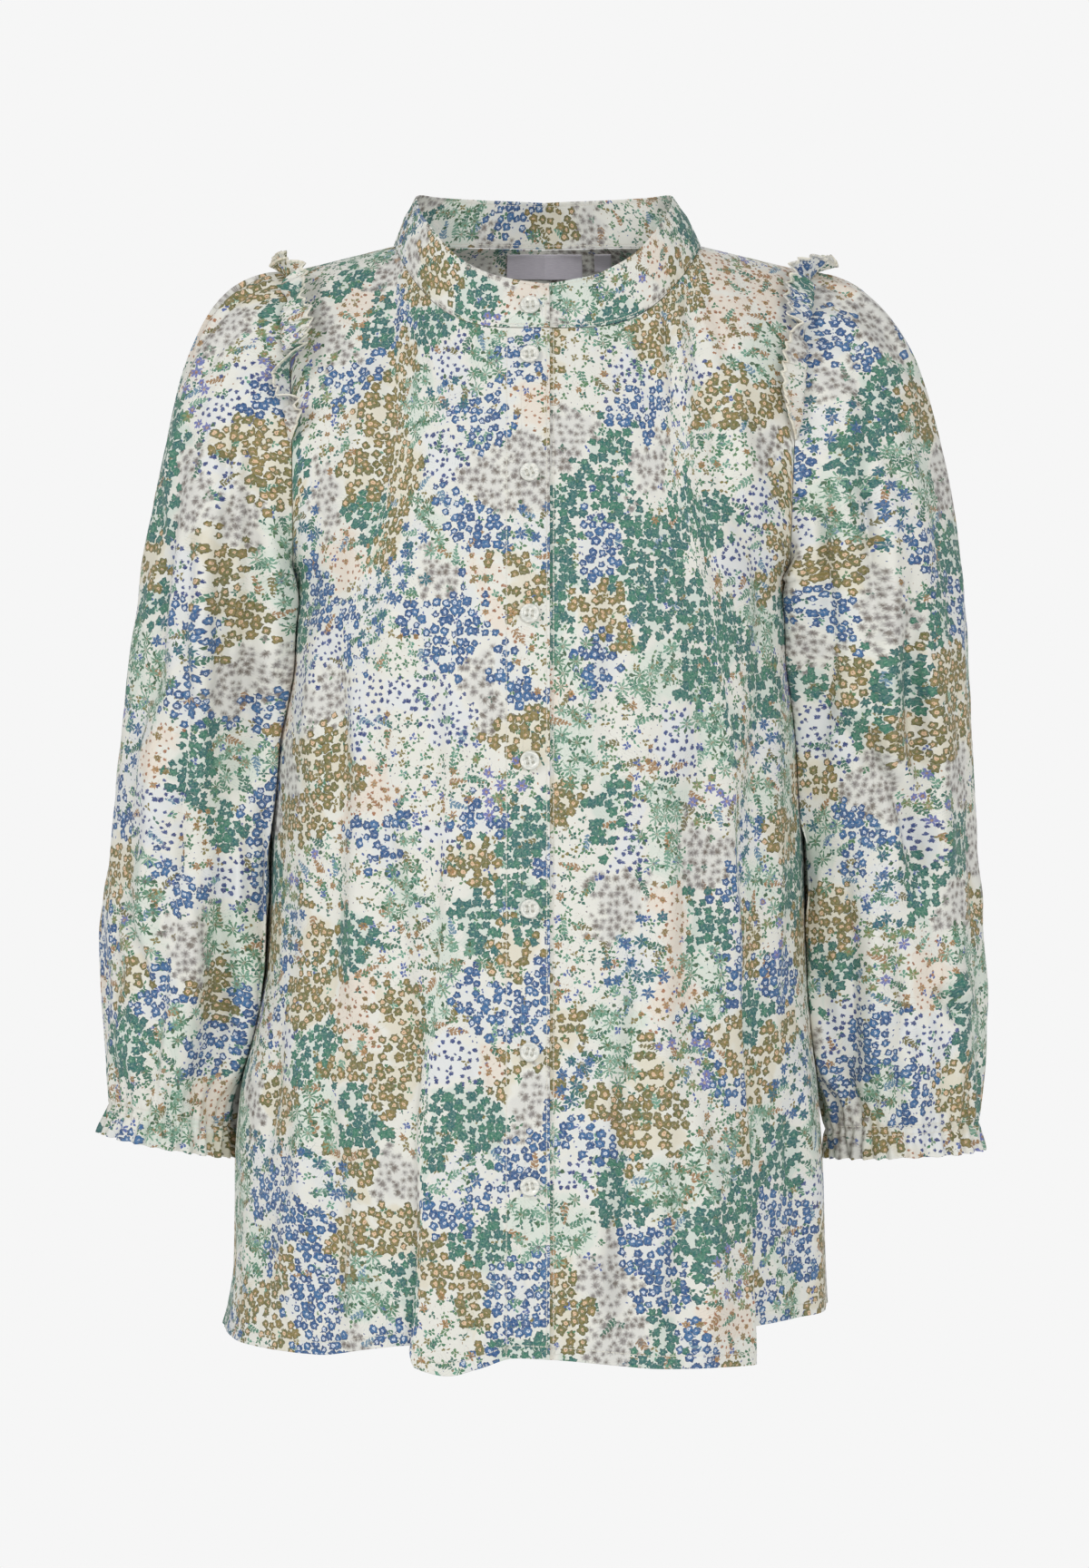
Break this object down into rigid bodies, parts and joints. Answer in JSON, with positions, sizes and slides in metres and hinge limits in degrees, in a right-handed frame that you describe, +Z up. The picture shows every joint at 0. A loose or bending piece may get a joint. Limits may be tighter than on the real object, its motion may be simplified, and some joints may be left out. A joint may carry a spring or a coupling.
{
  "type": "blouse",
  "caption": "Long-sleeved printed blouse with a stand collar, buttoned front, ruffled armhole seams, gathered sleeves and elasticated cuffs, filled out as if worn.",
  "frame": {"origin": "middle of the neck, level with the neck ends of the shoulder seams, where the wearer's shoulders hold the blouse up", "axes": "+Z up, -Y the front of the blouse, +X the wearer's left"},
  "size_m": [0.5117, 0.2498, 0.6642],
  "materials": {
    "printed_cloth": "matt light woven cloth with an all-over print of small flowers and dots",
    "button": "pearly, lightly glossy",
    "label": "smooth satin, bare"
  },
  "bodies": {
    "root": {"front_right": "printed_cloth", "front_left": "printed_cloth", "back": "printed_cloth", "collar": "printed_cloth", "sleeve_right": "printed_cloth", "sleeve_left": "printed_cloth", "ruffle_right": "printed_cloth", "ruffle_left": "printed_cloth", "button_1": "button", "button_2": "button", "button_3": "button", "button_4": "button", "button_5": "button", "button_6": "button", "button_7": "button", "button_8": "button", "neck_label": "label", "size_tab": "label"}
  },
  "joints": []
}
